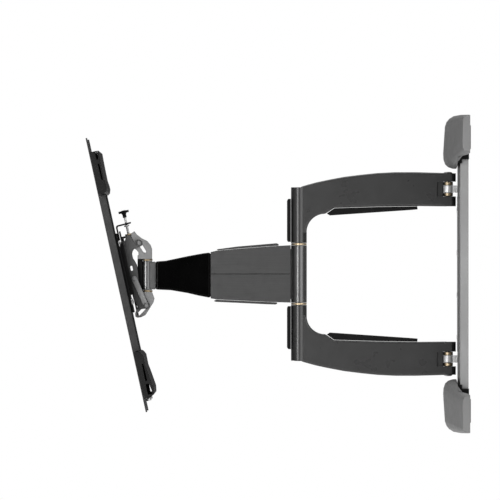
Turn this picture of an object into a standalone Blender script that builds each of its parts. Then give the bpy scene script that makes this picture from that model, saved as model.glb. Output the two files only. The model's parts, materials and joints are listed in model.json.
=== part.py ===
"""A full motion wall mount for a flat display.

Two cast arms hinge on a wall plate, a forearm hinges between them, a yoke swivels on the
forearm and a tilt bracket rides in the yoke's arc slots. The display frame slides up and
down on the tilt bracket, and two display brackets slide along its rails.
Lengths in this file are millimetres and are turned into metres by the helpers. The origin
is the centre of the wall plate's back face, +Y points into the wall and +Z up.
"""
import math

import bmesh
import bpy
from mathutils import Matrix, Vector

MM = 0.001
GAP = 0.3

# Hinge axes, from the wall outwards
WALL_AXIS_Y = -33.0
ELBOW_Y = -279.0
HEAD_Y = -531.0
HEAD_Z = -2.5
TILT_Y = -603.2
REST_TILT_DEG = 12.4
TILT_RANGE_DEG = (-12.4, 2.6)

# Wall side
COVER_HALF = 222.0
COVER_TOP_END, COVER_TOP_MIDDLE = 258.5, 262.0
COVER_WALL = 2.2
COVER_DEPTH_MIDDLE = 40.8
COVER_DEPTH_END = 14.0
PLATE_HALF_WIDTH = 116.0
PLATE_HALF_HEIGHT = 203.4
PLATE_FRONT = -15.0
STUD_HALF_SPACING = 203.2
STUD_RAIL_HALF = 212.0
RAIL_BOLT_X = 80.0
STUD_RAIL_Z = (204.0, 242.0)
TAB_Z = 140.2
TAB_HALF = 5.8
TAB_NOSE_R = 10.6

# Arms
ARM_HALF_WIDTH = 11.5
ARM_END_R = 13.0
SLOT_HALF = 12.2
SLOT_DEPTH_Y = -51.0
SLOT_RIB_HALF = 8.0
POST_R = 13.0
POST_END = 51.3
WALL_PIN_R = 5.0
WALL_BUSH_R = 8.2
ELBOW_PIN_R = 6.0
ELBOW_BARREL_HALF = 47.2
WASHER_LOW, WASHER_HIGH = 47.5, 51.0

# Forearm
HEAD_BARREL_R = 9.9
HEAD_BARREL_HALF = 23.9
HEAD_PIN_R = 4.5
CORE_HALF_WIDTH = 7.0
SLEEVE_HALF_WIDTH = 13.5
SHELL_HALF_WIDTH = 15.0
SHELL_WALL = 2.2

# Head yoke and tilt slots
YOKE_INNER_X, YOKE_OUTER_X = 27.0, 32.0
LUG_INNER, LUG_THICK = 27.7, 5.8
UPPER_SLOT_R, UPPER_STUD_DEG = 78.8, 40.0
LOWER_SLOT_R, LOWER_STUD_DEG = 89.1, -35.6
SLOT_HALF_WIDTH = 2.6
STUD_R = 2.2

# Tilt bracket and display frame, in the tilted frame: u towards the wall, v up the display
WEB_U = (41.5, 44.0)
CHEEK_X = (32.5, 36.0)
BRACE_X = (36.4, 39.4)
ADAPTER_U = (35.0, 37.8)
SCREW_U = 56.1
POST_U = (25.2, 34.7)
POST_X = (50.0, 74.0)
POST_V = (-136.7, 126.7)
RAIL_HALF = 220.0
BRACKET_X = 100.0
BRACKET_HALF_WIDTH = 17.5
BASE_U = (22.4, 24.6)
FLANGE_U = 34.2

RAD = math.radians


def remove_everything():
    for obj in list(bpy.data.objects):
        bpy.data.objects.remove(obj, do_unlink=True)


def new_collection(name):
    made = bpy.data.collections.new(name)
    bpy.context.scene.collection.children.link(made)
    return made


remove_everything()
PARTS = new_collection("full_motion_wall_mount")
CUTTERS = new_collection("cutters")


def paint(name, colour, roughness, metallic):
    made = bpy.data.materials.new(name)
    made.use_nodes = True
    shader = made.node_tree.nodes["Principled BSDF"]
    shader.inputs["Base Color"].default_value = (*colour, 1)
    shader.inputs["Roughness"].default_value = roughness
    shader.inputs["Metallic"].default_value = metallic
    return made


FINISH = {
    "cover_plastic": ((0.13, 0.13, 0.135), 0.55, 0.0),
    "wall_steel": ((0.16, 0.16, 0.165), 0.45, 0.6),
    "tab_aluminium": ((0.42, 0.42, 0.42), 0.4, 0.9),
    "arm_paint": ((0.045, 0.045, 0.048), 0.42, 0.3),
    "core_paint": ((0.09, 0.09, 0.092), 0.35, 0.6),
    "bronze": ((0.42, 0.30, 0.16), 0.35, 1.0),
    "black_plastic": ((0.012, 0.012, 0.013), 0.5, 0.0),
    "gloss_black": ((0.006, 0.006, 0.007), 0.12, 0.0),
    "shell_paint": ((0.075, 0.075, 0.08), 0.5, 0.2),
    "yoke_paint": ((0.13, 0.13, 0.13), 0.42, 0.5),
    "tilt_steel": ((0.10, 0.10, 0.10), 0.45, 0.6),
    "frame_steel": ((0.03, 0.03, 0.032), 0.5, 0.4),
    "bracket_steel": ((0.07, 0.07, 0.072), 0.5, 0.4),
    "fastener_steel": ((0.35, 0.35, 0.36), 0.35, 1.0),
}
MATERIALS = {name: paint(name, *values) for name, values in FINISH.items()}

# Local x, y and z of a flat outline, for a solid that is extruded along the named axis
ALONG = {
    "X": Matrix(((0, 0, 1), (1, 0, 0), (0, 1, 0))),
    "Y": Matrix(((1, 0, 0), (0, 0, -1), (0, 1, 0))),
    "Z": Matrix.Identity(3),
}


def place(mesh, along, centre):
    """Turns a mesh that was made about local z to lie along an axis, and moves it there."""
    mesh.transform(Matrix.Translation(Vector(centre) * MM) @ ALONG[along].to_4x4())


def centre_of(along, flat, height):
    a, b = flat
    return {"X": (height, a, b), "Y": (a, height, b), "Z": (a, b, height)}[along]


def new_object(name, mesh):
    made = bpy.data.objects.new(name, mesh)
    CUTTERS.objects.link(made)
    made.hide_render = True
    made.display_type = "WIRE"
    return made


def slab(name, outline, low, high, along="X"):
    """A flat outline made solid from low to high along an axis."""
    curve = bpy.data.curves.new(name, "CURVE")
    curve.dimensions = "2D"
    curve.fill_mode = "BOTH"
    curve.extrude = (high - low) / 2 * MM
    spline = curve.splines.new("POLY")
    spline.points.add(len(outline) - 1)
    for point, (a, b) in zip(spline.points, outline):
        point.co = (a * MM, b * MM, 0, 1)
    spline.use_cyclic_u = True
    drawn = bpy.data.objects.new(name + "_outline", curve)
    CUTTERS.objects.link(drawn)
    bpy.context.view_layer.update()
    seen = drawn.evaluated_get(bpy.context.evaluated_depsgraph_get())
    mesh = bpy.data.meshes.new_from_object(seen)
    bpy.data.objects.remove(drawn, do_unlink=True)
    work = bmesh.new()
    work.from_mesh(mesh)
    bmesh.ops.remove_doubles(work, verts=work.verts, dist=1e-6)
    bmesh.ops.dissolve_limit(work, angle_limit=RAD(0.1), verts=work.verts, edges=work.edges)
    bmesh.ops.recalc_face_normals(work, faces=work.faces)
    work.to_mesh(mesh)
    work.free()
    place(mesh, along, centre_of(along, (0, 0), (low + high) / 2))
    return new_object(name, mesh)


def rod(name, radius, low, high, flat=(0, 0), along="X", sides=24, tip=None):
    """A cylinder, or a cone when a tip radius is given."""
    mesh = bpy.data.meshes.new(name)
    work = bmesh.new()
    bmesh.ops.create_cone(
        work, cap_ends=True, segments=sides, depth=(high - low) * MM,
        radius1=radius * MM, radius2=(radius if tip is None else tip) * MM,
    )
    work.to_mesh(mesh)
    work.free()
    place(mesh, along, centre_of(along, flat, (low + high) / 2))
    return new_object(name, mesh)


def block(name, low, high):
    """A box between two corners."""
    mesh = bpy.data.meshes.new(name)
    work = bmesh.new()
    bmesh.ops.create_cube(work, size=1)
    work.to_mesh(mesh)
    work.free()
    size = [(b - a) * MM for a, b in zip(low, high)]
    middle = Vector([(a + b) / 2 * MM for a, b in zip(low, high)])
    mesh.transform(Matrix.Translation(middle) @ Matrix.Diagonal((*size, 1)))
    return new_object(name, mesh)


def turned(name, profile, flat, along="Z", sides=24, closed=False):
    """A profile of (radius, height), from the top down its outer side, turned round an axis."""
    mesh = bpy.data.meshes.new(name)
    points = [(r * MM, 0, h * MM) for r, h in profile]
    edges = [(i, i + 1) for i in range(len(points) - 1)]
    if closed:
        edges.append((len(points) - 1, 0))
    mesh.from_pydata(points, edges, [])
    made = new_object(name, mesh)
    screw = made.modifiers.new("turn", "SCREW")
    screw.steps = screw.render_steps = sides
    screw.use_merge_vertices = True
    screw.merge_threshold = 0.00001
    made.matrix_world = (
        Matrix.Translation(Vector(centre_of(along, flat, 0)) * MM) @ ALONG[along].to_4x4()
    )
    return made


def boolean(target, operation, tools):
    for tool in tools:
        cut = target.modifiers.new(operation.lower(), "BOOLEAN")
        cut.operation = operation
        cut.solver = "EXACT"
        cut.object = tool
    return target


def cut(target, *tools):
    return boolean(target, "DIFFERENCE", tools)


def join(target, *tools):
    return boolean(target, "UNION", tools)


def round_edges(obj, width, segments=2, angle=35):
    bevel = obj.modifiers.new("edges", "BEVEL")
    bevel.width = width * MM
    bevel.segments = segments
    bevel.limit_method = "ANGLE"
    bevel.angle_limit = RAD(angle)
    bevel.harden_normals = False
    return obj


def publish(obj, finish, frame=None):
    """Makes a worked solid a named sub-part: out of the cutters, painted and on its frame."""
    CUTTERS.objects.unlink(obj)
    PARTS.objects.link(obj)
    obj.hide_render = False
    obj.display_type = "TEXTURED"
    obj.data.materials.clear()
    obj.data.materials.append(MATERIALS[finish])
    if frame:
        seat(frame, obj)
    return obj


def seat(frame, obj):
    """Hangs a solid on a frame, and the solids that are cut from it or joined to it."""
    obj.parent = frame
    for modifier in obj.modifiers:
        if modifier.type == "BOOLEAN" and modifier.object.parent is None:
            seat(frame, modifier.object)


def arc(centre, radius, start, stop, steps):
    """Points round a circle, from one angle to another in degrees."""
    a, b = centre
    angles = [RAD(start + (stop - start) * i / steps) for i in range(steps + 1)]
    return [(a + radius * math.cos(t), b + radius * math.sin(t)) for t in angles]


def mirrored(outline):
    """The outline on the other side of its first axis, still running the same way round."""
    return [(a, -b) for a, b in reversed(outline)]


def rectangle(a_low, a_high, b_low, b_high):
    return [(a_low, b_low), (a_high, b_low), (a_high, b_high), (a_low, b_high)]


def slotted(centre, half_length, radius, steps=6):
    """A round-ended slot that runs along the second axis."""
    a, b = centre
    top = arc((a, b + half_length), radius, 0, 180, steps)
    return top + arc((a, b - half_length), radius, 180, 360, steps)


# ---------------------------------------------------------------- wall side


def make_wall_plate():
    half, front = PLATE_HALF_WIDTH, PLATE_FRONT
    section = [
        (-half, -1.6), (-half, front), (half, front), (half, -1.6),
        (half - 2.5, -1.6), (half - 2.5, front + 3), (2.5 - half, front + 3), (2.5 - half, -1.6),
    ]
    plate = slab("wall_plate", section, -PLATE_HALF_HEIGHT, PLATE_HALF_HEIGHT, "Z")
    for side in (-1, 1):
        low, high = sorted((side * (PLATE_HALF_HEIGHT - 4), side * STUD_RAIL_Z[1]))
        tongue = block("plate_tongue", (-half, front + 1, low), (half, -10.3, high))
        join(plate, tongue)
        for x in (-RAIL_BOLT_X, RAIL_BOLT_X):
            cut(plate, rod("bolt_hole", 4.3, -30, 5, (x, side * sum(STUD_RAIL_Z) / 2), "Y"))
    for x in (-80, 80):
        for z in (-100, 100):
            opening = slotted((x, z), 35, 10)
            cut(plate, slab("plate_slot", opening, front - 5, -5, "Y"))
        cut(plate, rod("plate_hole", 6, front - 5, -5, (x, 0), "Y"))
    for z in (-60, 0, 60):
        cut(plate, rod("screw_hole", 3.2, front - 5, -5, (0, z), "Y", 16))
    return publish(plate, "wall_steel")


def make_stud_rail(name, side):
    low, high = STUD_RAIL_Z
    section = [
        (0, low), (-10, low), (-10, low + 2.5), (-2.5, low + 2.5),
        (-2.5, high - 2.5), (-10, high - 2.5), (-10, high), (0, high),
    ]
    if side < 0:
        section = mirrored(section)
    rail = slab(name, section, -STUD_RAIL_HALF, STUD_RAIL_HALF)
    middle = side * (low + high) / 2
    for x in (-STUD_HALF_SPACING, STUD_HALF_SPACING):
        cut(rail, rod("lag_hole", 4.2, -6, 6, (x, middle), "Y", 16))
    for x in (-RAIL_BOLT_X, RAIL_BOLT_X):
        cut(rail, rod("bolt_hole", 4.3, -6, 6, (x, middle), "Y"))
    for x in (-140, 0, 140):
        across = [(b + x, a + middle) for a, b in slotted((0, 0), 22, 4.5)]
        cut(rail, slab("rail_slot", across[::-1], -6, 6, "Y"))
    return publish(rail, "wall_steel")


def make_rail_bolt(name, x, z):
    """A hex bolt that holds the wall plate's tongue to a stud rail."""
    shank = rod(name, 4, -15, -0.5, (x, z), "Y", 20)
    head = rod("hex_head", 7.5, -19, -14.3, (x, z), "Y", 6)
    return publish(join(shank, head), "fastener_steel")


def cover_profile(x, inset=0.0):
    """The cover's section at x, from its top back edge round the front to its lower back edge."""
    bow = 1 - (x / COVER_HALF) ** 2
    depth = COVER_DEPTH_END + (COVER_DEPTH_MIDDLE - COVER_DEPTH_END) * bow - inset
    top = COVER_TOP_END + (COVER_TOP_MIDDLE - COVER_TOP_END) * bow - inset
    bottom = 200 - 26.5 * bow + inset
    height = top - bottom
    ease = min(max((abs(x) - 176) / 34, 0), 1)
    lower_back = min(-19.5 + 18.3 * ease * ease * (3 - 2 * ease), -1.2)
    front = [
        (-0.36 * depth, top - 0.2), (-0.60 * depth, top - 1 - bow), (-0.76 * depth, top - 2 - 4 * bow),
        (-0.87 * depth, top - 3.5 - 8 * bow), (-0.93 * depth, top - 6 - 13 * bow),
        (-0.985 * depth, top - 0.60 * height), (-depth, top - 0.72 * height),
        (-0.985 * depth, bottom + 0.17 * height), (-0.92 * depth, bottom + 0.08 * height),
        (-0.80 * depth, bottom + 0.03 * height), (-0.62 * depth, bottom + 0.2),
    ]
    if inset:
        return [(8, top)] + front + [(8, bottom + 1)]
    return [(-1.2, top)] + front + [(lower_back, bottom)]


def loft(name, half_length, side, inset, stations=28):
    """A solid through the cover's sections, closer together towards its ends."""
    work = bmesh.new()
    rings = []
    for i in range(stations + 1):
        x = half_length * math.sin(RAD(90 * (2 * i / stations - 1)))
        points = [Vector((x, y, side * z)) * MM for y, z in cover_profile(x, inset)]
        rings.append([work.verts.new(p) for p in points])
    for ring, following in zip(rings, rings[1:]):
        for j, vert in enumerate(ring):
            k = (j + 1) % len(ring)
            work.faces.new((vert, ring[k], following[k], following[j]))
    for ring in (rings[0], rings[-1]):
        work.faces.new(ring)
    bmesh.ops.recalc_face_normals(work, faces=work.faces)
    mesh = bpy.data.meshes.new(name)
    work.to_mesh(mesh)
    work.free()
    return new_object(name, mesh)


def make_cover(name, side):
    """A moulded cover, bowed in plan and open towards the wall."""
    cover = loft(name, COVER_HALF, side, 0.0)
    hollow = loft("cover_hollow", COVER_HALF - COVER_WALL, side, COVER_WALL)
    return publish(cut(cover, hollow), "cover_plastic")


def make_hinge_plate():
    plate = slab("hinge_plate", rectangle(-30, 30, -128, 128), -17.3, PLATE_FRONT - GAP, "Y")
    return publish(plate, "wall_steel")


def make_hinge_tab(name, side):
    """A thick tab with a round nose about the wall axis."""
    nose = arc((0, WALL_AXIS_Y), TAB_NOSE_R, 135, 405, 18)
    neck = nose[-1][0]
    outline = nose + [(neck, -20.4), (19, -19.6), (19, -17.6), (-19, -17.6), (-19, -19.6), (-neck, -20.4)]
    middle = side * TAB_Z
    tab = slab(name, outline, middle - TAB_HALF, middle + TAB_HALF, "Z")
    bore = rod("tab_bore", WALL_PIN_R + GAP, middle - 20, middle + 20, (0, WALL_AXIS_Y), "Z")
    return publish(cut(tab, bore), "tab_aluminium")


def make_wall_side():
    make_wall_plate()
    make_stud_rail("upper_stud_rail", 1)
    make_stud_rail("lower_stud_rail", -1)
    for level, side in (("upper", 1), ("lower", -1)):
        for hand, x in (("left", -RAIL_BOLT_X), ("right", RAIL_BOLT_X)):
            make_rail_bolt(f"{level}_{hand}_rail_bolt", x, side * sum(STUD_RAIL_Z) / 2)
    make_cover("top_cover", 1)
    make_cover("bottom_cover", -1)
    make_hinge_plate()
    make_hinge_tab("upper_hinge_tab", 1)
    make_hinge_tab("lower_hinge_tab", -1)


# ---------------------------------------------------------------- arms

ARM_TOP = [
    (-277, 143.6), (-267, 146.6), (-251, 151), (-231, 155.3), (-205, 160.2), (-178, 163.6),
    (-150, 166.5), (-120, 168), (-86, 168), (-50, 167), (WALL_AXIS_Y, 166.3),
]
ARM_UNDERSIDE = [(WALL_AXIS_Y, 111.5), (-80, 112), (-150, 111.2), (-221, 109), (-234, 100.2)]
ARM_CORNER, ARM_CORNER_R = (-236, 69), 30.3
POST_FOOT = [(-272, 67), (-279, 67)]


def make_arm(name, side):
    """One cast arm: a fork round the wall tab, a bowed beam and a post down to the elbow."""
    underside = ARM_UNDERSIDE + arc(ARM_CORNER, ARM_CORNER_R, 90, 180, 9) + POST_FOOT
    outline = ARM_TOP[::-1] + [(-286, 120), (-286, 78)] + underside[::-1]
    if side < 0:
        outline = mirrored(outline)
    arm = round_edges(slab(name, outline, -ARM_HALF_WIDTH, ARM_HALF_WIDTH), 3, 3, 40)
    low, high = sorted((side * POST_END, side * 143))
    post = rod("post", POST_R, low, high, (0, ELBOW_Y), "Z", 48)
    low, high = sorted((side * 111.8, side * 166.2))
    eye = rod("eye", ARM_END_R, low, high, (0, WALL_AXIS_Y), "Z", 36)
    for near, far in ((-20, -ARM_HALF_WIDTH), (ARM_HALF_WIDTH, 20)):
        cut(eye, block("eye_flat", (near, -60, low - 5), (far, 0, high + 5)))
    join(arm, post, eye)
    middle = side * TAB_Z
    low, high = middle - SLOT_HALF, middle + SLOT_HALF
    fork = block("fork", (-30, WALL_AXIS_Y, low), (30, 0, high))
    swept = rod("fork_floor", TAB_NOSE_R + 0.8, low, high, (0, WALL_AXIS_Y), "Z", 36)
    cheeks = [
        block("fork_side", (near, SLOT_DEPTH_Y, low), (far, WALL_AXIS_Y + 1, high))
        for near, far in ((-30, -SLOT_RIB_HALF), (SLOT_RIB_HALF, 30))
    ]
    wall_bore = rod("wall_bore", WALL_PIN_R + GAP, *sorted((side * 100, side * 180)), (0, WALL_AXIS_Y), "Z")
    elbow_bore = rod("elbow_bore", ELBOW_PIN_R + GAP, *sorted((side * 40, side * 150)), (0, ELBOW_Y), "Z")
    head_seat = rod("pin_seat", 10, *sorted((side * 136, side * 150)), (0, ELBOW_Y), "Z")
    return publish(cut(arm, fork, swept, *cheeks, wall_bore, elbow_bore, head_seat), "arm_paint")


def make_wall_pin(name, side):
    low, high = sorted((side * 112.6, side * 165.4))
    return publish(rod(name, WALL_PIN_R, low, high, (0, WALL_AXIS_Y), "Z"), "fastener_steel")


def make_bush(name, inner, outer, low, high, y, frame_z=0):
    """A flat bronze thrust bush."""
    low, high = sorted((low + frame_z, high + frame_z))
    edge = 0.5
    ring = [
        (inner, high), (outer - edge, high), (outer, high - edge),
        (outer, low + edge), (outer - edge, low), (inner, low),
    ]
    return publish(turned(name, ring, (0, y), "Z", 28, closed=True), "bronze")


def make_elbow_pin():
    shank = [
        (0, 140.5), (8.5, 140.5), (9, 139.8), (9, 136.4), (ELBOW_PIN_R, 136.4),
        (ELBOW_PIN_R, -138.5), (0, -138.5),
    ]
    return publish(turned("elbow_pin", shank, (0, ELBOW_Y), "Z", 28), "fastener_steel")


def make_elbow_nut():
    nut = rod("elbow_nut", 9.2, -141, -136.4, (0, ELBOW_Y), "Z", 6)
    bore = rod("nut_bore", ELBOW_PIN_R + GAP, -150, -130, (0, ELBOW_Y), "Z", 28)
    return publish(cut(nut, bore), "fastener_steel")


def make_arm_cable_cover(name, side):
    """A wedge clipped under the arm's beam."""
    outline = [
        (-233, 99.9), (-220.8, 108.5), (-150, 110.7), (-83.7, 111.5), (-83.2, 106.6),
        (-95, 105.6), (-160, 101.2), (-228, 96.6),
    ]
    if side < 0:
        outline = mirrored(outline)
    return publish(slab(name, outline, -9, 9), "black_plastic")


def make_elbow_cable_cover(name, side):
    """A narrow cover down the front of the post."""
    front, back = ELBOW_Y - POST_R - 6.6, ELBOW_Y - POST_R - 0.35
    outline = [
        (back, 53), (back, 124), (front + 2, 124), (front, 121), (front, 56), (front + 1.5, 53),
    ]
    if side < 0:
        outline = mirrored(outline)
    return publish(slab(name, outline, -9, 9), "black_plastic")


def make_arms():
    for level, side in (("upper", 1), ("lower", -1)):
        make_arm(f"{level}_arm", side)
        make_wall_pin(f"{level}_wall_pin", side)
        for place_name, away in (("outer", 1), ("inner", -1)):
            near = TAB_Z + away * (TAB_HALF + GAP)
            far = TAB_Z + away * (SLOT_HALF - GAP)
            make_bush(
                f"{level}_{place_name}_wall_bush", WALL_PIN_R + GAP, WALL_BUSH_R,
                side * near, side * far, WALL_AXIS_Y,
            )
        make_arm_cable_cover(f"{level}_arm_cable_cover", side)
        make_elbow_cable_cover(f"{level}_elbow_cable_cover", side)
    make_elbow_pin()
    make_elbow_nut()


# ---------------------------------------------------------------- forearm

SLEEVE_TOP = [(-425, 35.6), (-438, 34), (-462, 29.6), (-478, 26.2), (-499, 21.8), (-515.5, 20.6)]
SLEEVE_BOTTOM = [(-515.5, -25.6), (-490, -26.8), (-463, -31.4), (-445, -35.6), (-425, -39.4)]
SHELL_TOP = [(-292.6, 47.5), (-330, 45.4), (-380, 41.6), (-414, 38.6), (-424.6, 36.2)]
SHELL_BOTTOM = [(-424.6, -40.2), (-414, -42), (-380, -43.6), (-330, -46), (-292.6, -47.2)]


def inset(outline, amount):
    """The run of points moved towards the middle line by an amount."""
    return [(a, b - math.copysign(amount, b)) for a, b in outline]


def make_forearm():
    """The cast core: a barrel at the elbow, a beam, and a smaller barrel at the head."""
    upper = [
        (ELBOW_Y, 42), (-300, 41), (-380, 35.5), (-424, 30), (-470, 22.5), (-515.1, 16.5),
        (-515.9, 20.4), (HEAD_Y, 20.4),
    ]
    lower = [
        (HEAD_Y, -25.4), (-515.9, -25.4), (-515.1, -21), (-470, -26), (-424, -33.5), (-380, -37.5),
        (-300, -41), (ELBOW_Y, -42),
    ]
    core = slab("forearm", upper + lower, -CORE_HALF_WIDTH, CORE_HALF_WIDTH)
    half = ELBOW_BARREL_HALF
    barrel = rod("elbow_barrel", POST_R, -half, half, (0, ELBOW_Y), "Z", 48)
    low, high = HEAD_Z - HEAD_BARREL_HALF, HEAD_Z + HEAD_BARREL_HALF
    nose = rod("head_barrel", HEAD_BARREL_R, low, high, (0, HEAD_Y), "Z", 32)
    join(core, barrel, nose)
    elbow_bore = rod("barrel_bore", ELBOW_PIN_R + GAP, -60, 60, (0, ELBOW_Y), "Z")
    head_bore = rod("nose_bore", HEAD_PIN_R + GAP, -60, 60, (0, HEAD_Y), "Z")
    return publish(cut(core, elbow_bore, head_bore), "core_paint")


def make_nose_sleeve():
    """The glossy sleeve that slides over the beam behind the head."""
    outer = SLEEVE_TOP + SLEEVE_BOTTOM
    sleeve = round_edges(slab("nose_sleeve", outer, -SLEEVE_HALF_WIDTH, SLEEVE_HALF_WIDTH), 3, 3, 40)
    join(sleeve, block("collar", (-12.2, -430, -37.4), (12.2, -418, 33.4)))
    top, bottom = inset(SLEEVE_TOP, SHELL_WALL), inset(SLEEVE_BOTTOM, SHELL_WALL)
    top = [(-410, 31.6), (-438, 31.6)] + top[2:-1] + [(-520, top[-1][1])]
    bottom = [(-520, bottom[0][1])] + bottom[1:-1] + [(-410, -35.4)]
    hollow = slab("sleeve_hollow", top + bottom, -11, 11)
    return publish(cut(sleeve, hollow), "gloss_black")


def make_shell(name, side):
    """One half of the clamshell round the beam, split at mid height."""
    run = SHELL_TOP if side > 0 else SHELL_BOTTOM[::-1]
    seam = side * 0.25
    outer = run + [(-424.6, seam), (-292.6, seam)]
    shell = slab(name, outer, -SHELL_HALF_WIDTH, SHELL_HALF_WIDTH)
    inner = inset(run, SHELL_WALL)
    hollow = [(-285, inner[0][1])] + inner[1:-1] + [(-430, inner[-1][1])]
    hollow += [(-430, -side * 5), (-285, -side * 5)]
    cut(shell, slab("shell_hollow", hollow, -12.6, 12.6))
    return publish(shell, "shell_paint")


def make_forearm_cable_cover(name, side):
    if side > 0:
        outline = [
            (-312.5, 46.8), (-330, 45.8), (-380, 42), (-413, 39.1), (-414.5, 40.8), (-380, 45.4),
            (-330, 49.6), (-316, 50.8), (-312.5, 49.5),
        ]
    else:
        outline = [
            (-315, -47), (-380, -44.1), (-416, -42.4), (-419.5, -44.6), (-416, -46), (-380, -47.6),
            (-330, -50), (-318, -50.4), (-315, -49.4),
        ]
    return publish(slab(name, outline, -9, 9), "shell_paint")


def make_forearm_group():
    make_forearm()
    make_nose_sleeve()
    make_shell("upper_forearm_shell", 1)
    make_shell("lower_forearm_shell", -1)
    make_forearm_cable_cover("upper_forearm_cable_cover", 1)
    make_forearm_cable_cover("lower_forearm_cable_cover", -1)
    for level, side in (("upper", 1), ("lower", -1)):
        make_bush(
            f"{level}_elbow_bush", ELBOW_PIN_R + GAP, POST_R - 0.2,
            side * WASHER_LOW, side * WASHER_HIGH, ELBOW_Y,
        )


# ---------------------------------------------------------------- head yoke

UPPER_CHEEK = [
    (-521.6, 24.8), (-521.6, 41.3), (-523.9, 47.8), (-529.5, 54.5), (-538.4, 59), (-546.5, 65),
    (-550.6, 70.4), (-554.2, 67.6), (-556, 62), (-556, 56), (-553.6, 48), (-551.4, 41.8),
    (-547.5, 40.3), (-543.6, 36), (-543.4, 31.5), (-545, 30.5), (-545, 24.8),
]
LOWER_CHEEK = [
    (-545, -29.8), (-545, -33), (-543.4, -38), (-542.6, -46), (-546, -57), (-549, -65),
    (-548.4, -70.4), (-545, -72), (-539.5, -71.4), (-532.3, -67.8), (-519.1, -46.7),
    (-517.6, -40.4), (-521.6, -29.8),
]


def slot_path(radius, stud_deg):
    """An arc slot about the tilt axis, as wide as the stud's path over the tilt range."""
    start, stop = (stud_deg + limit for limit in TILT_RANGE_DEG)
    centre = (TILT_Y, 0)
    outer = arc(centre, radius + SLOT_HALF_WIDTH, start, stop, 8)
    inner = arc(centre, radius - SLOT_HALF_WIDTH, stop, start, 8)
    end = arc(point_at(radius, stop), SLOT_HALF_WIDTH, stop, stop + 180, 6)[1:-1]
    begin = arc(point_at(radius, start), SLOT_HALF_WIDTH, start + 180, start + 360, 6)[1:-1]
    return outer + end + inner + begin


def point_at(radius, angle):
    return (TILT_Y + radius * math.cos(RAD(angle)), radius * math.sin(RAD(angle)))


def make_head_yoke():
    """Two slotted cheeks on each side, lugs above and below the forearm's barrel, and a spine."""
    low, high = HEAD_Z - LUG_INNER - LUG_THICK, HEAD_Z + LUG_INNER + LUG_THICK
    yoke = block("head_yoke", (-11, -545, low), (11, -541.6, high))
    lug_plan = [
        (-27.5, -545), (27.5, -545), (27.5, -525), (23.5, -521.6), (-23.5, -521.6), (-27.5, -525),
    ]
    join(yoke, slab("upper_lug", lug_plan, high - LUG_THICK, high, "Z"))
    join(yoke, slab("lower_lug", lug_plan, low, low + LUG_THICK, "Z"))
    for side in (-1, 1):
        near, far = sorted((side * YOKE_INNER_X, side * YOKE_OUTER_X))
        join(yoke, slab("upper_cheek", UPPER_CHEEK, near, far), slab("lower_cheek", LOWER_CHEEK, near, far))
    upper_slot = slot_path(UPPER_SLOT_R, UPPER_STUD_DEG)
    lower_slot = slot_path(LOWER_SLOT_R, LOWER_STUD_DEG)
    for name, path in (("upper_arc", upper_slot), ("lower_arc", lower_slot)):
        cut(yoke, slab(name, path, -50, 50))
    cut(yoke, rod("yoke_bore", HEAD_PIN_R + GAP, -60, 60, (0, HEAD_Y), "Z"))
    return publish(yoke, "yoke_paint")


def make_head_pin():
    top = HEAD_Z + LUG_INNER + LUG_THICK
    bottom = HEAD_Z - LUG_INNER - LUG_THICK
    shank = [
        (0, top + 5), (6.5, top + 5), (7.5, top + 4), (7.5, top + GAP), (HEAD_PIN_R, top + GAP),
        (HEAD_PIN_R, bottom - 6.5), (0, bottom - 6.5),
    ]
    return publish(turned("head_pin", shank, (0, HEAD_Y), "Z", 24), "fastener_steel")


def make_head_nut():
    top = HEAD_Z - LUG_INNER - LUG_THICK - GAP
    nut = rod("head_nut", 7.6, top - 5, top, (0, HEAD_Y), "Z", 6)
    bore = rod("head_nut_bore", HEAD_PIN_R + GAP, top - 20, top + 20, (0, HEAD_Y), "Z")
    return publish(cut(nut, bore), "fastener_steel")


def make_head_group():
    make_head_yoke()
    make_head_pin()
    make_head_nut()
    for level, side in (("upper", 1), ("lower", -1)):
        make_bush(
            f"{level}_head_bush", HEAD_PIN_R + GAP, HEAD_BARREL_R + 0.6,
            side * (HEAD_BARREL_HALF + GAP), side * (LUG_INNER - GAP), HEAD_Y, HEAD_Z,
        )


# ---------------------------------------------------------------- tilt bracket


def in_tilt_frame(radius, angle):
    """A point on a stud circle, in the tilted frame at rest."""
    turned_by = RAD(angle - REST_TILT_DEG)
    return (radius * math.cos(turned_by), radius * math.sin(turned_by))


UPPER_STUD = in_tilt_frame(UPPER_SLOT_R, UPPER_STUD_DEG)
LOWER_STUD = in_tilt_frame(LOWER_SLOT_R, LOWER_STUD_DEG)
BOSS = (50.2, -18.9)


def cheek_outline():
    """The tilt bracket's side: up from the lower stud to the upper one, round two lobes."""
    lower_lobe = arc(LOWER_STUD, 5.6, -120, 30, 6)
    upper_lobe = arc(UPPER_STUD, 5.6, -110, 110, 8)
    return (
        [(WEB_U[0] - 0.3, -50), (46, -68), (51, -70.6)]
        + lower_lobe
        + [(61.2, -56), (57.2, -38.7), (55.4, -30), (56.8, -19), (58.6, -6), (58.4, 3)]
        + [(56.6, 9.5), (54.5, 14.5), (54.5, 21.8), (56.6, 26.6), (60, 29.6)]
        + upper_lobe
        + [(62.4, 41.2), (60.4, 44.6), (59.8, 49.5), (58, 53), (54.6, 53.6), (51, 50.4)]
        + [(48.2, 45.6), (WEB_U[0] - 0.3, 44.6)]
    )


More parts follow.
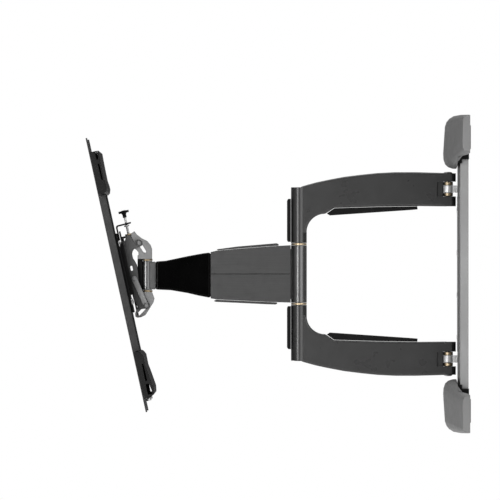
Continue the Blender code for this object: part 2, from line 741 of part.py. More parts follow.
def make_tilt_bracket(frame):
    """A folded bracket: a web behind the display frame with a cheek each side of the yoke."""
    web = [
        (-34, -48), (-18, -50), (-18, -78), (-13, -82.4), (13, -82.4), (18, -78), (18, -50), (34, -48),
        (34, 43), (16, 45), (12, 60), (8, 62.6), (-8, 62.6), (-12, 60), (-16, 45), (-34, 43),
    ]
    bracket = slab("tilt_bracket", web, *WEB_U, "Y")
    for side in (-1, 1):
        near, far = sorted((side * CHEEK_X[0], side * CHEEK_X[1]))
        join(bracket, slab("tilt_cheek", cheek_outline(), near, far))
    for point in (UPPER_STUD, LOWER_STUD):
        cut(bracket, rod("stud_hole", STUD_R + GAP, -60, 60, point, sides=16))
    cut(bracket, slab("cheek_window", slotted((49, -1.2), 2.2, 2.2), -60, 60))
    for x in (-15, 15):
        cut(bracket, rod("web_hole", 3.5, 30, 60, (x, -30), "Y", 16))
    return publish(bracket, "tilt_steel", frame)


def make_stud(name, side, point, outside):
    """A shouldered stud: a collar inside the yoke, a shank in its slot and a domed head."""
    profile = [
        (0, outside + 2.4), (1.8, outside + 2.2), (3.4, outside + 1.4), (4.1, outside + 0.2),
        (4.1, outside), (STUD_R, outside), (STUD_R, YOKE_INNER_X - 0.4), (4, YOKE_INNER_X - 0.4),
        (4, YOKE_INNER_X - 2.6), (0, YOKE_INNER_X - 2.6),
    ]
    if side < 0:
        profile = [(r, -h) for r, h in reversed(profile)]
    return turned(name, profile, point, "X", 16)


def make_brace(name, side, frame):
    """A flat bar from the bracket's boss to its lower stud."""
    u, v = BOSS
    lean = math.degrees(math.atan2(LOWER_STUD[1] - v, LOWER_STUD[0] - u))
    outline = arc(BOSS, 4.4, lean + 90, lean + 270, 8) + arc(LOWER_STUD, 3.9, lean - 90, lean + 90, 8)
    near, far = sorted((side * BRACE_X[0], side * BRACE_X[1]))
    brace = slab(name, outline, near, far)
    cut(brace, rod("brace_hole", STUD_R + GAP, -60, 60, LOWER_STUD, sides=16))
    rivet = rod("brace_rivet", 2.9, *sorted((side * 38, side * 41)), BOSS, sides=16)
    return publish(join(brace, rivet), "yoke_paint", frame)


def make_lift_shelf(frame):
    """The bent shelf on the bracket's web that carries the lift nut."""
    outline = [
        (WEB_U[1] + GAP, 14), (46.8, 14), (46.8, 49.6), (63.4, 49.6), (63.4, 53), (WEB_U[1] + GAP, 53),
    ]
    shelf = slab("lift_shelf", outline, -10, 10)
    bore = rod("shelf_hole", 4.6, 45, 60, (0, SCREW_U), "Z", 20)
    return publish(cut(shelf, bore), "tilt_steel", frame)


def make_lift_nut(frame):
    """The threaded nut in the shelf, which the lift screw turns in."""
    profile = [
        (2.2, 55.6), (5.6, 55.6), (6, 55.2), (6, 53.3), (4.3, 53.3), (4.3, 48.6), (2.2, 48.6),
    ]
    return publish(turned("lift_nut", profile, (0, SCREW_U), "Z", 20, closed=True), "bronze", frame)


def make_tilt_group(frame):
    make_tilt_bracket(frame)
    for hand, side in (("left", -1), ("right", 1)):
        upper = make_stud(f"{hand}_upper_tilt_stud", side, UPPER_STUD, CHEEK_X[1] + GAP)
        lower = make_stud(f"{hand}_lower_tilt_stud", side, LOWER_STUD, BRACE_X[1] + GAP)
        publish(upper, "yoke_paint", frame)
        publish(lower, "yoke_paint", frame)
        make_brace(f"{hand}_tilt_brace", side, frame)
    make_lift_shelf(frame)
    make_lift_nut(frame)


# ---------------------------------------------------------------- display frame

UPPER_RAIL = [
    (25.5, 127), (34.6, 127), (38, 129.6), (40, 135.6), (40, 141), (38.8, 151), (39, 168), (39.4, 184),
    (39.8, 197), (37.9, 197), (37.3, 186), (36.4, 183), (33.8, 183), (33.2, 196), (25.5, 196),
]
UPPER_RAIL_WINDOW = [(34.6, 150), (36.8, 148.6), (36.8, 168), (36.6, 176), (34.2, 176)]
LOWER_RAIL = [
    (25.5, -137), (25.5, -206), (28.6, -212), (38.6, -212.4), (43, -210), (44.6, -200), (42, -179),
    (39.6, -162.6), (39.8, -145), (36.6, -139), (34, -137),
]
LOWER_RAIL_WINDOWS = (
    [(34.4, -158), (34, -186), (37.2, -186), (36.8, -158)],
    [(33.4, -191), (33.4, -208.6), (41, -208.6), (40.6, -202), (38.6, -191)],
)


def make_adapter_plate(frame):
    """The plate behind the frame, with two lips that guide it along the tilt bracket."""
    outline = [
        (-80, -73), (-36, -73), (-36, -56), (36, -56), (36, -73), (80, -73), (80, 60), (-80, 60),
    ]
    plate = slab("adapter_plate", outline, *ADAPTER_U, "Y")
    for side in (-1, 1):
        near, far = sorted((side * (CHEEK_X[1] + 0.4), side * (CHEEK_X[1] + 2.4)))
        lip = block("guide_lip", (near, ADAPTER_U[1] - 1, -44), (far, WEB_U[1] + 0.6, 42))
        join(plate, lip)
    for x in (-62, 62):
        for v in (-55, 42):
            cut(plate, rod("plate_hole", 3.2, 30, 50, (x, v), "Y", 16))
    return publish(plate, "frame_steel", frame)


def make_adjuster_tab(frame):
    """The bent tab on the adapter that the lift screw carries."""
    outline = [
        (ADAPTER_U[1] + GAP, 48), (40.6, 48), (40.6, 69), (41.6, 70.6), (63.6, 71.4),
        (64.2, 74), (41, 73.2), (39, 72), (ADAPTER_U[1] + GAP, 69.6),
    ]
    tab = slab("adjuster_tab", outline, -9, 9)
    hole = rod("tab_hole", 2.2, 60, 90, (0, SCREW_U), "Z", 16)
    return publish(cut(tab, hole), "frame_steel", frame)


def make_frame_post(name, side, frame):
    """An upright channel between the rails, open towards the display."""
    near, far = POST_X
    low, high = POST_U
    section = [
        (near, low), (near + 2.2, low), (near + 2.2, high - 2.2), (far - 2.2, high - 2.2),
        (far - 2.2, low), (far, low), (far, high), (near, high),
    ]
    if side < 0:
        section = [(-x, y) for x, y in reversed(section)]
    return publish(slab(name, section, *POST_V, "Z"), "frame_steel", frame)


def make_rail(name, outline, windows, trough, frame):
    """A rail across the frame: a trough open to the display with closed ends, and a lip behind."""
    rail = slab(name, outline, -RAIL_HALF, RAIL_HALF)
    for window in windows:
        cut(rail, slab("rail_window", window, -RAIL_HALF - 5, RAIL_HALF + 5))
    low, high = trough
    cut(rail, block("trough", (3 - RAIL_HALF, 20, low), (RAIL_HALF - 3, 31.4, high)))
    return publish(rail, "frame_steel", frame)


def make_display_bracket(name, side, frame):
    """A vertical bracket with slotted base, side flanges and a hook over the upper rail."""
    middle = side * BRACKET_X
    near, far = middle - BRACKET_HALF_WIDTH, middle + BRACKET_HALF_WIDTH
    base = [
        (near, -233), (near + 4, -237), (far - 4, -237), (far, -233),
        (far, 219), (far - 4, 223), (near + 4, 223), (near, 219),
    ]
    bracket = slab(name, base, *BASE_U, "Y")
    for low, high in ((near, near + 2.4), (far - 2.4, far)):
        join(bracket, block("flange", (low, BASE_U[1] - 1, -136.2), (high, FLANGE_U, 126.2)))
    hook = [
        (BASE_U[1] - 1, 196.6), (34, 196.6), (34, 188), (35.8, 188), (35.8, 199), (BASE_U[1] - 1, 199),
    ]
    join(bracket, slab("hook", hook, middle - 8, middle + 8))
    foot = block("foot", (middle - 8, BASE_U[1] - 1, -215.4), (middle + 8, 35.8, -213.2))
    join(bracket, foot)
    cut(bracket, rod("foot_hole", 2.5, -230, -200, (middle, 31.6), "Z", 16))
    for v in (-200, -150, -100, -50, 50, 100, 150, 205):
        cut(bracket, slab("base_slot", slotted((middle, v), 9, 3.2), 15, 27, "Y"))
    return publish(bracket, "bracket_steel", frame)


def make_lock_screw(name, side, frame):
    middle = side * BRACKET_X
    profile = [
        (0, -212.8), (2.2, -212.8), (2.2, -215.7), (4.2, -215.7), (4.2, -219), (3.4, -219.8), (0, -219.8),
    ]
    return publish(turned(name, profile, (middle, 31.6), "Z", 16), "fastener_steel", frame)


def make_lift_screw(frame):
    profile = [
        (0, 89.4), (1.9, 89.4), (1.9, 70.2), (4.2, 70.2), (4.2, 67.8), (1.9, 67.8), (1.9, 42), (0, 41),
    ]
    return publish(turned("lift_screw", profile, (0, SCREW_U), "Z", 16), "fastener_steel", frame)


def make_lift_knob(frame):
    """A flat wing-shaped knob on the screw's top."""
    wing = arc((-4, SCREW_U), 4.6, 90, 270, 8) + arc((4, SCREW_U), 4.6, -90, 90, 8)
    crown = [
        (0, 95), (3.2, 95), (4.4, 94.2), (4.8, 91), (3.2, 88.2), (3.2, 83), (2.2, 83), (2.2, 89.8), (0, 89.8),
    ]
    knob = turned("lift_knob", crown, (0, SCREW_U), "Z", 20)
    blade = slab("knob_wing", [(y - SCREW_U, x + SCREW_U) for x, y in wing][::-1], 90.6, 94.4, "Z")
    return publish(join(knob, blade), "black_plastic", frame)


def make_display_group(frame):
    make_adapter_plate(frame)
    make_adjuster_tab(frame)
    for hand, side in (("left", -1), ("right", 1)):
        make_frame_post(f"{hand}_frame_post", side, frame)
        make_display_bracket(f"{hand}_display_bracket", side, frame)
        make_lock_screw(f"{hand}_lock_screw", side, frame)
    make_rail("upper_rail", UPPER_RAIL, [UPPER_RAIL_WINDOW], (129.5, 193.5), frame)
    make_rail("lower_rail", LOWER_RAIL, LOWER_RAIL_WINDOWS, (-204, -139.5), frame)
    make_lift_screw(frame)
    make_lift_knob(frame)


def make_tilt_frame():
    """An empty on the tilt axis, turned to the display's angle at rest."""
    frame = bpy.data.objects.new("tilt_frame", None)
    bpy.context.scene.collection.objects.link(frame)
    frame.location = Vector((0, TILT_Y, 0)) * MM
    frame.rotation_euler = (RAD(REST_TILT_DEG), 0, 0)
    return frame


def main():
    make_wall_side()
    make_arms()
    make_forearm_group()
    make_head_group()
    tilt_frame = make_tilt_frame()
    make_tilt_group(tilt_frame)
    make_display_group(tilt_frame)


main()
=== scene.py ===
"""Looks for the full motion wall mount: materials, trim, light, floor and camera."""
import json
import math

import bmesh
import bpy
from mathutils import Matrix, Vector


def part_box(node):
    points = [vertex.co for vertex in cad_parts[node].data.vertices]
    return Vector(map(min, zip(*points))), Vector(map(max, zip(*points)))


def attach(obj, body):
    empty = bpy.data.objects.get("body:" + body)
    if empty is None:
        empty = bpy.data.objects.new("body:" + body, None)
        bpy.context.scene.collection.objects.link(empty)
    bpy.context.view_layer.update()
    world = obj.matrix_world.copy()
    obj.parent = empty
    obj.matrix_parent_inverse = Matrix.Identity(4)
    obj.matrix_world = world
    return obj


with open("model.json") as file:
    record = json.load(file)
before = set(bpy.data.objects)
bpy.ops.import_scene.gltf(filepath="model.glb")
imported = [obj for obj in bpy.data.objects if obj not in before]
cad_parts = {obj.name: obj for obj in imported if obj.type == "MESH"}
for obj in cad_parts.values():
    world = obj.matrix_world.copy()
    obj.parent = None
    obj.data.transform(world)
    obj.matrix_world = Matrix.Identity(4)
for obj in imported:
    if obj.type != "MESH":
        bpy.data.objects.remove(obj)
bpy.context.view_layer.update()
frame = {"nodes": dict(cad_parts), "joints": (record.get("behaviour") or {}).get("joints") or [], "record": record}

ROUNDING = 0.0016

# ---------------------------------------------------------------- materials


class Shader:
    """One Principled material, with short names for the nodes that its detail needs."""

    def __init__(self, name):
        self.material = bpy.data.materials.new(name)
        self.material.use_nodes = True
        self.tree = self.material.node_tree
        self.surface = self.tree.nodes["Principled BSDF"]
        self.place = self.node("ShaderNodeTexCoord").outputs["Object"]
        rounding = self.node("ShaderNodeBevel", samples=4)
        rounding.inputs["Radius"].default_value = ROUNDING
        self.height = rounding.outputs["Normal"]
        self.link(self.height, self.surface.inputs["Normal"])

    def node(self, kind, **values):
        made = self.tree.nodes.new(kind)
        for name, value in values.items():
            setattr(made, name, value)
        return made

    def link(self, source, target):
        self.tree.links.new(source, target)

    def noise(self, scale, detail=4.0, stretch=(1, 1, 1), rough=0.55):
        spread = self.node("ShaderNodeMapping")
        spread.inputs["Scale"].default_value = stretch
        self.link(self.place, spread.inputs["Vector"])
        made = self.node("ShaderNodeTexNoise")
        made.inputs["Scale"].default_value = scale
        made.inputs["Detail"].default_value = detail
        made.inputs["Roughness"].default_value = rough
        self.link(spread.outputs["Vector"], made.inputs["Vector"])
        return made.outputs["Fac"]

    def ramp(self, source, low, high, start=0.3, stop=0.7):
        """Maps a grey value to two colours, or to two numbers."""
        made = self.node("ShaderNodeValToRGB")
        ends = made.color_ramp.elements
        for end, place, value in ((ends[0], start, low), (ends[1], stop, high)):
            end.position = place
            end.color = (*value, 1) if isinstance(value, tuple) else (value, value, value, 1)
        self.link(source, made.inputs["Fac"])
        return made.outputs["Color"]

    def blend(self, factor, low, high):
        made = self.node("ShaderNodeMix", data_type="RGBA")
        self.link(factor, made.inputs[0])
        for socket, value in ((made.inputs[6], low), (made.inputs[7], high)):
            if isinstance(value, tuple):
                socket.default_value = (*value, 1)
            else:
                self.link(value, socket)
        return made.outputs[2]

    def worn_edges(self, radius=0.0012, start=0.02, stop=0.14):
        """White where a bevelled normal turns away from the flat one: along edges."""
        bevel = self.node("ShaderNodeBevel", samples=6)
        bevel.inputs["Radius"].default_value = radius
        flat = self.node("ShaderNodeNewGeometry")
        dot = self.node("ShaderNodeVectorMath", operation="DOT_PRODUCT")
        self.link(bevel.outputs["Normal"], dot.inputs[0])
        self.link(flat.outputs["Normal"], dot.inputs[1])
        turn = self.node("ShaderNodeMath", operation="SUBTRACT")
        turn.inputs[0].default_value = 1.0
        self.link(dot.outputs["Value"], turn.inputs[1])
        return self.ramp(turn.outputs["Value"], 0.0, 1.0, start, stop)

    def bump(self, source, distance, strength=1.0):
        made = self.node("ShaderNodeBump")
        made.inputs["Strength"].default_value = strength
        made.inputs["Distance"].default_value = distance
        self.link(source, made.inputs["Height"])
        self.link(self.height, made.inputs["Normal"])
        self.height = made.outputs["Normal"]
        self.link(self.height, self.surface.inputs["Normal"])

    def painted_crevice_shade(self, shade_reach, dark=0.08):
        """Painted shade: darker where the surface is shut in by its neighbours, where shade gathers."""
        made = self.node("ShaderNodeAmbientOcclusion", samples=8)
        made.inputs["Distance"].default_value = shade_reach
        return self.ramp(made.outputs["AO"], dark, 1.0, 0.15, 0.85)

    # Multiplies a colour by the painted crevice shade, so the base colour carries shade in recesses.
    def with_painted_shade(self, colour, shade_reach=0.012):
        made = self.node("ShaderNodeMix", data_type="RGBA", blend_type="MULTIPLY")
        made.inputs[0].default_value = 1.0
        self.link(colour, made.inputs[6])
        self.link(self.painted_crevice_shade(shade_reach), made.inputs[7])
        return made.outputs[2]

    def set(self, **values):
        for name, value in values.items():
            socket = self.surface.inputs[name.replace("_", " ")]
            if isinstance(value, bpy.types.NodeSocket):
                self.link(value, socket)
            else:
                socket.default_value = (*value, 1) if isinstance(value, tuple) else value


def grey(value):
    return (value, value, value)


def powder_coat(
    name, dark, light, roughness=(0.42, 0.56), grain=900, metal=0.0, shade_reach=0.012, specular=0.45
):
    """Paint with a fine orange peel, faint mottling and thinner, brighter edges."""
    look = Shader(name)
    body = look.ramp(look.noise(14, 5), grey(dark), grey(light))
    worn = grey(light * 1.35)
    # The base colour is multiplied by painted shade in crevices.
    look.set(Base_Color=look.with_painted_shade(look.blend(look.worn_edges(), body, worn), shade_reach))
    look.set(Roughness=look.ramp(look.noise(60, 3), *roughness))
    look.set(Metallic=metal, Specular_IOR_Level=specular)
    look.bump(look.noise(grain, 2), 0.00006, 0.5)
    return look.material


def cast_paint(name, dark, light, roughness=(0.30, 0.44), metal=0.0, specular=0.5):
    """Satin paint on a casting: broad flow marks under a fine texture."""
    look = Shader(name)
    body = look.ramp(look.noise(9, 2, (1, 1, 1.6)), grey(dark), grey(light), 0.2, 0.8)
    worn = grey(light * 1.9)
    # The base colour is multiplied by painted shade in crevices.
    look.set(Base_Color=look.with_painted_shade(look.blend(look.worn_edges(0.0014, 0.03, 0.2), body, worn)))
    look.set(Roughness=look.ramp(look.noise(40, 2), *roughness))
    look.set(Metallic=metal, Specular_IOR_Level=specular, Coat_Weight=0.1, Coat_Roughness=0.18)
    look.bump(look.noise(24, 3), 0.0001, 0.08)
    look.bump(look.noise(700, 1), 0.00003, 0.15)
    return look.material


def moulded(name, dark, light, roughness=(0.45, 0.6), grain=1500, specular=0.4, streaks=False, shade_reach=0.012):
    """Moulded plastic with a spark eroded grain, drawn out along Y where it is brushed."""
    look = Shader(name)
    tone = look.noise(700, 4, (1, 0.03, 1)) if streaks else look.noise(20, 4)
    # The base colour is multiplied by painted shade in crevices.
    look.set(Base_Color=look.with_painted_shade(look.ramp(tone, grey(dark), grey(light)), shade_reach))
    look.set(Roughness=look.ramp(look.noise(80, 3), *roughness))
    look.set(Specular_IOR_Level=specular)
    look.bump(look.noise(grain, 2), 0.00005, 0.6)
    return look.material


def polished(name):
    """Polished black plastic, with hair scratches and a little dust."""
    look = Shader(name)
    look.set(Base_Color=look.ramp(look.noise(30, 4), grey(0.0006), grey(0.0012)))
    look.set(Roughness=look.ramp(look.noise(150, 5, (1, 1, 9)), 0.07, 0.16))
    look.set(Specular_IOR_Level=0.03)
    look.bump(look.noise(14, 2), 0.0002, 0.1)
    return look.material


def bare_metal(name, dark, light, roughness=(0.24, 0.4), along=(1, 1, 30), metal=1.0):
    """Bright metal with tool marks drawn out along one direction."""
    look = Shader(name)
    marks = look.noise(60, 5, along)
    body = look.ramp(marks, dark, light)
    bright = tuple(min(c * 1.3, 0.95) for c in light)
    # The base colour is multiplied by painted shade in crevices.
    look.set(Base_Color=look.with_painted_shade(look.blend(look.worn_edges(0.0008, 0.04, 0.25), body, bright)))
    look.set(Roughness=look.ramp(look.noise(90, 4, along), *roughness), Metallic=metal)
    look.bump(marks, 0.00005, 0.5)
    return look.material


# The reach values set how far each look's painted crevice shade spreads: wall_steel reaches far to paint shade on
# the plate under the covers' lips, and yoke_paint and tilt_steel to paint the yoke's recess dark.
LOOKS = {
    "cover_plastic": moulded("cover_plastic", 0.100, 0.118, (0.5, 0.62), 1300, shade_reach=0.02),
    "wall_steel": powder_coat("wall_steel", 0.14, 0.17, (0.45, 0.58), shade_reach=0.03),
    "tab_aluminium": bare_metal("tab_aluminium", grey(0.34), grey(0.46), (0.35, 0.5), (30, 1, 1), 0.7),
    "arm_paint": cast_paint("arm_paint", 0.013, 0.015, (0.27, 0.30), specular=0.38),
    "core_paint": cast_paint("core_paint", 0.062, 0.074, (0.21, 0.25), 0.6),
    "bronze": bare_metal("bronze", (0.30, 0.235, 0.15), (0.46, 0.37, 0.25), (0.3, 0.45), (1, 1, 40), 0.8),
    "black_plastic": moulded("black_plastic", 0.003, 0.005, (0.42, 0.55), 1500, 0.05),
    "gloss_black": polished("gloss_black"),
    "shell_paint": moulded("shell_paint", 0.012, 0.017, (0.42, 0.55), 1500, 0.36, True),
    "yoke_paint": powder_coat("yoke_paint", 0.10, 0.135, (0.36, 0.5), 1000, 0.15, shade_reach=0.045),
    "tilt_steel": powder_coat(
        "tilt_steel", 0.022, 0.031, (0.38, 0.52), 1000, 0.15, shade_reach=0.03, specular=0.3
    ),
    "frame_steel": powder_coat("frame_steel", 0.005, 0.008, (0.4, 0.55), specular=0.07),
    "bracket_steel": powder_coat("bracket_steel", 0.012, 0.017, (0.4, 0.55), specular=0.2),
    "fastener_steel": bare_metal("fastener_steel", grey(0.36), grey(0.55), (0.2, 0.35)),
}


def dress_cad_nodes():
    for name, slot_name in ((s["node"], s["material_slot"]) for s in frame["record"]["subparts"]):
        node = frame["nodes"][name]
        node = bpy.data.objects[node] if isinstance(node, str) else node
        node.data.materials.clear()
        node.data.materials.append(LOOKS[slot_name])


dress_cad_nodes()

# ---------------------------------------------------------------- small fittings


def turned_mesh(name, profile, place, axis, sides=32):
    """A solid of revolution from (radius, height) points, top to bottom, about an axis."""
    work = bmesh.new()
    rings = []
    for radius, height in profile:
        if radius == 0:
            rings.append([work.verts.new((0, 0, height))])
            continue
        angles = [2 * math.pi * i / sides for i in range(sides)]
        rings.append([work.verts.new((radius * math.cos(t), radius * math.sin(t), height)) for t in angles])
    for upper, lower in zip(rings, rings[1:]):
        for i in range(sides):
            j = (i + 1) % sides
            corners = (
                upper[i % len(upper)], lower[i % len(lower)],
                lower[j % len(lower)], upper[j % len(upper)],
            )
            work.faces.new(dict.fromkeys(corners))
    bmesh.ops.recalc_face_normals(work, faces=work.faces)
    mesh = bpy.data.meshes.new(name)
    work.to_mesh(mesh)
    work.free()
    mesh.transform(Vector((0, 0, 1)).rotation_difference(Vector(axis)).to_matrix().to_4x4())
    for vertex in mesh.vertices:
        vertex.co += Vector(place)
    return mesh


def fit(name, mesh, body, slot, smooth=True):
    """Adds a fitting to the scene, on a body, with a slot's look."""
    for polygon in mesh.polygons:
        polygon.use_smooth = smooth
    made = bpy.data.objects.new(name, mesh)
    bpy.context.scene.collection.objects.link(made)
    made.data.materials.append(LOOKS[slot])
    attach(made, body)
    return made


def button_head(radius, height, sink=0.0004):
    """A button head with a round-bottomed drive recess, from its centre out and down."""
    recess, depth = 0.42 * radius, 0.45 * height
    return [
        (0, height - depth), (recess * 0.9, height - depth), (recess, height - 0.0001),
        (recess * 1.08, height), (0.62 * radius, height * 0.93), (0.85 * radius, height * 0.68),
        (0.97 * radius, height * 0.30), (radius, 0), (radius, -sink), (0, -sink),
    ]


def tilted(u, v, x=0.0):
    """A place in the display's tilted frame, from the frame post's own slope."""
    y = TILT_Y + u * math.cos(TILT) - v * math.sin(TILT)
    z = u * math.sin(TILT) + v * math.cos(TILT)
    return Vector((x, y, z))


def joint(name):
    return next(j for j in frame["joints"] if j["name"] == name)


TILT_Y = joint("tilt")["pos_m"][1]
UP_DISPLAY = Vector(joint("height_slide")["axis"])
TILT = math.atan2(-UP_DISPLAY.y, UP_DISPLAY.z)
OUT_DISPLAY = Vector((0, math.cos(TILT), math.sin(TILT)))

# Places in metres. U runs back from the tilted display frame, square to it, and V runs up along it.
HINGE_BOLT_X = 0.022
HINGE_BOLT_HEIGHTS = (-0.105, -0.035, 0.035, 0.105)
ADAPTER_SCREW_X = 0.062
ADAPTER_SCREWS_V = (-0.055, 0.042)
ADAPTER_FRONT_U = 0.0378
SCREW_ORIGIN_V = 0.070


def add_post_caps():
    """Moulded caps in the ends of the elbow posts, over the pin's head and nut."""
    elbow_y = joint("elbow_swivel")["pos_m"][1]
    above_head, below_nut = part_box("elbow_pin")[1].z + 0.0006, -0.1416
    radius, rise = 0.0095, 0.0021
    cap = [
        (0, rise), (0.5 * radius, rise * 0.97), (0.85 * radius, rise * 0.82), (0.97 * radius, rise * 0.5),
        (radius, rise * 0.1), (radius, -0.0003), (0, -0.0003),
    ]
    for name, z, side in (("upper_post_cap", above_head, 1), ("lower_post_cap", below_nut, -1)):
        fit(name, turned_mesh(name, cap, (0, elbow_y, z), (0, 0, side)), "arms", "black_plastic")


def add_wall_pin_caps():
    """Steel button heads over the outer ends of the wall pins."""
    wall_y = joint("wall_swivel")["pos_m"][1]
    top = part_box("upper_wall_pin")[1].z
    profile = button_head(0.0072, 0.0018)
    for name, side in (("upper_pin_cap", 1), ("lower_pin_cap", -1)):
        place = (0, wall_y, side * (top + 0.0012))
        fit(name, turned_mesh(name, profile, place, (0, 0, side)), "arms", "fastener_steel")


def add_hinge_plate_bolts():
    """Flat button heads in two columns down the hinge plate's front."""
    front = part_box("hinge_plate")[0].y
    for i, z in enumerate(HINGE_BOLT_HEIGHTS):
        for hand, x in (("left", -HINGE_BOLT_X), ("right", HINGE_BOLT_X)):
            name = f"hinge_plate_bolt_{hand}_{i}"
            mesh = turned_mesh(name, button_head(0.0055, 0.0007), (x, front, z), (0, -1, 0))
            fit(name, mesh, "wall_side", "fastener_steel")


def prism_mesh(name, outline, low, high, along="z"):
    """A solid from a flat outline, made thick from low to high along x or z."""
    work = bmesh.new()
    floor, top = (
        [work.verts.new((t, a, b) if along == "x" else (a, b, t)) for a, b in outline]
        for t in (low, high)
    )
    for k in range(len(outline)):
        work.faces.new((floor[k - 1], floor[k], top[k], top[k - 1]))
    work.faces.new(floor)
    work.faces.new(top)
    bmesh.ops.recalc_face_normals(work, faces=work.faces)
    mesh = bpy.data.meshes.new(name)
    work.to_mesh(mesh)
    work.free()
    return mesh


def add_spine_shade_strips():
    """Black plastic strips on both sides of the yoke's spine, between its bushes: painted shade, a dark sheet
    standing in for the deep shade of the recess beside the spine.
    """
    head_y = joint("head_swivel")["pos_m"][1]
    low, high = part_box("lower_head_bush")[0].z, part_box("upper_head_bush")[1].z
    back, front = head_y - 0.0142, head_y - 0.0065
    for hand, side in (("left", -1), ("right", 1)):
        near, edge, far = 0.0111 * side, 0.0123 * side, 0.0129 * side
        outline = [
            (near, back), (edge, back), (far, back + 0.0006),
            (far, front - 0.0006), (edge, front), (near, front),
        ]
        name = f"spine_trim_{hand}"
        fit(name, prism_mesh(name, outline, low, high), "head", "black_plastic", smooth=False)


def add_cover_shade_blocks():
    """Black blocks on the wall plate's edges, which the covers' ends close over: painted shade, standing in for
    the shadow in the hollow under each cover's end.
    """
    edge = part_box("wall_plate")[1].x + 0.0002
    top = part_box("upper_stud_rail")[0].z - 0.0006
    foot, heel = top - 0.022, top - 0.0155
    front, step, back = -0.0186, -0.0125, -0.0008
    for level, up in (("upper", 1), ("lower", -1)):
        outline = [
            (back, up * top), (front, up * top), (front, up * foot), (step, up * foot),
            (step, up * heel), (back, up * heel),
        ]
        for hand, side in (("left", -1), ("right", 1)):
            name = f"cover_clip_{level}_{hand}"
            mesh = prism_mesh(name, outline, side * edge, side * (edge + 0.0024), "x")
            fit(name, mesh, "wall_side", "black_plastic", smooth=False)


def add_adapter_screws():
    """Button heads that close the adapter's holes into the frame posts."""
    for hand, x in (("left", -ADAPTER_SCREW_X), ("right", ADAPTER_SCREW_X)):
        for level, v in (("lower", ADAPTER_SCREWS_V[0]), ("upper", ADAPTER_SCREWS_V[1])):
            name = f"adapter_screw_{level}_{hand}"
            place = tilted(ADAPTER_FRONT_U, v, x)
            mesh = turned_mesh(name, button_head(0.0052, 0.0022), place, OUT_DISPLAY)
            fit(name, mesh, "display_frame", "fastener_steel")


def add_screw_thread():
    """A raised thread along the lift screw, as a ridge that climbs round it."""
    start, stop, pitch, sides = 0.0425, 0.0665, 0.002, 18
    core, crest = 0.00185, 0.00215
    turns = (stop - start) / pitch
    work = bmesh.new()
    previous = None
    centre = joint("screw_turn")["pos_m"]
    across = Vector((1, 0, 0))
    for i in range(int(turns * sides) + 1):
        angle = 2 * math.pi * i / sides
        rise = start + pitch * i / sides - SCREW_ORIGIN_V
        out = across * math.cos(angle) + OUT_DISPLAY * math.sin(angle)
        middle = Vector(centre) + UP_DISPLAY * rise
        half = UP_DISPLAY * (0.32 * pitch)
        ring = [middle + out * core - half, middle + out * crest, middle + out * core + half]
        ring = [work.verts.new(p) for p in ring]
        if previous:
            for a, b in ((0, 1), (1, 2), (2, 0)):
                work.faces.new((previous[a], previous[b], ring[b], ring[a]))
        else:
            work.faces.new(ring)
        previous = ring
    work.faces.new(previous)
    bmesh.ops.recalc_face_normals(work, faces=work.faces)
    mesh = bpy.data.meshes.new("screw_thread")
    work.to_mesh(mesh)
    work.free()
    fit("screw_thread", mesh, "lift_screw", "fastener_steel", smooth=False)


add_post_caps()
add_wall_pin_caps()
add_hinge_plate_bolts()
add_spine_shade_strips()
add_cover_shade_blocks()
add_adapter_screws()
add_screw_thread()

# ---------------------------------------------------------------- stage, light and camera

FLOOR_Z = -0.66
FLOOR_HALF = 6.0
CAMERA_X = 16.0
CAMERA_Y = -0.3597
FOCAL_LENGTH = 698.0
SENSOR_WIDTH = 36.0
SHIFT_Y = 0.048
AMBIENT = 0.22
OVERHEAD_POWER = 3.0
OVERHEAD_SPREAD_DEG = 70


def make_floor():
    mesh = bpy.data.meshes.new("floor")
    corners = ((-1, -1), (1, -1), (1, 1), (-1, 1))
    mesh.from_pydata([(x * FLOOR_HALF, y * FLOOR_HALF, FLOOR_Z) for x, y in corners], [], [(0, 1, 2, 3)])
    floor = bpy.data.objects.new("floor", mesh)
    bpy.context.scene.collection.objects.link(floor)
    look = Shader("floor_paper")
    look.set(Base_Color=look.ramp(look.noise(3, 3), grey(0.84), grey(0.88)), Roughness=0.9)
    mesh.materials.append(look.material)


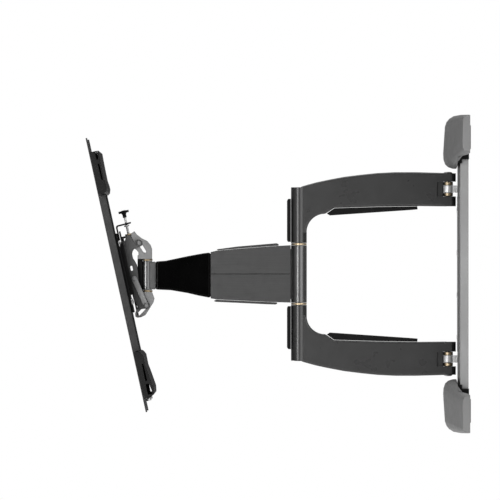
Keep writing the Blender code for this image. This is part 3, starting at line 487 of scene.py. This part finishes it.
def make_light(name, place, size, power, target=(0, -0.3, 0)):
    lamp = bpy.data.lights.new(name, "AREA")
    lamp.shape = "RECTANGLE"
    lamp.size, lamp.size_y = size
    lamp.energy = power
    made = bpy.data.objects.new(name, lamp)
    made.location = place
    made.rotation_euler = (Vector(target) - Vector(place)).to_track_quat("-Z", "Y").to_euler()
    bpy.context.scene.collection.objects.link(made)


def make_overhead():
    """A broad soft light from straight above, even over the whole floor."""
    lamp = bpy.data.lights.new("overhead", "SUN")
    lamp.energy = OVERHEAD_POWER
    lamp.angle = math.radians(OVERHEAD_SPREAD_DEG)
    bpy.context.scene.collection.objects.link(bpy.data.objects.new("overhead", lamp))


def make_world():
    world = bpy.data.worlds.new("studio")
    world.use_nodes = True
    tree = world.node_tree
    ambient = tree.nodes["Background"]
    ambient.inputs["Color"].default_value = (1, 1, 1, 1)
    ambient.inputs["Strength"].default_value = AMBIENT
    backdrop = tree.nodes.new("ShaderNodeBackground")
    backdrop.inputs["Color"].default_value = (1, 1, 1, 1)
    ray = tree.nodes.new("ShaderNodeLightPath")
    chosen = tree.nodes.new("ShaderNodeMixShader")
    tree.links.new(ray.outputs["Is Camera Ray"], chosen.inputs[0])
    tree.links.new(ambient.outputs[0], chosen.inputs[1])
    tree.links.new(backdrop.outputs[0], chosen.inputs[2])
    tree.links.new(chosen.outputs[0], tree.nodes["World Output"].inputs["Surface"])
    bpy.context.scene.world = world


def make_camera():
    lens = bpy.data.cameras.new("camera")
    lens.sensor_width = SENSOR_WIDTH
    lens.lens = FOCAL_LENGTH
    lens.shift_y = SHIFT_Y
    lens.clip_end = 60
    camera = bpy.data.objects.new("camera", lens)
    camera.location = (CAMERA_X, CAMERA_Y, 0)
    camera.rotation_euler = (math.radians(90), 0, math.radians(90))
    bpy.context.scene.collection.objects.link(camera)
    bpy.context.scene.camera = camera


make_floor()
make_world()
make_light("strip", (3.0, -1.2, 0), (0.4, 2.4), 74, (0, -0.28, 0))
make_light("side", (2.3, 1.5, 0.5), (1.8, 2.0), 42, (0, -0.28, 0))
make_overhead()
make_light("front", (1.0, -2.4, 0.8), (1.4, 1.8), 5.5, (0, -0.45, 0))
make_light("under", (1.4, 0.2, -1.6), (1.6, 0.6), 9)
make_camera()
bpy.context.scene.view_settings.view_transform = "Standard"
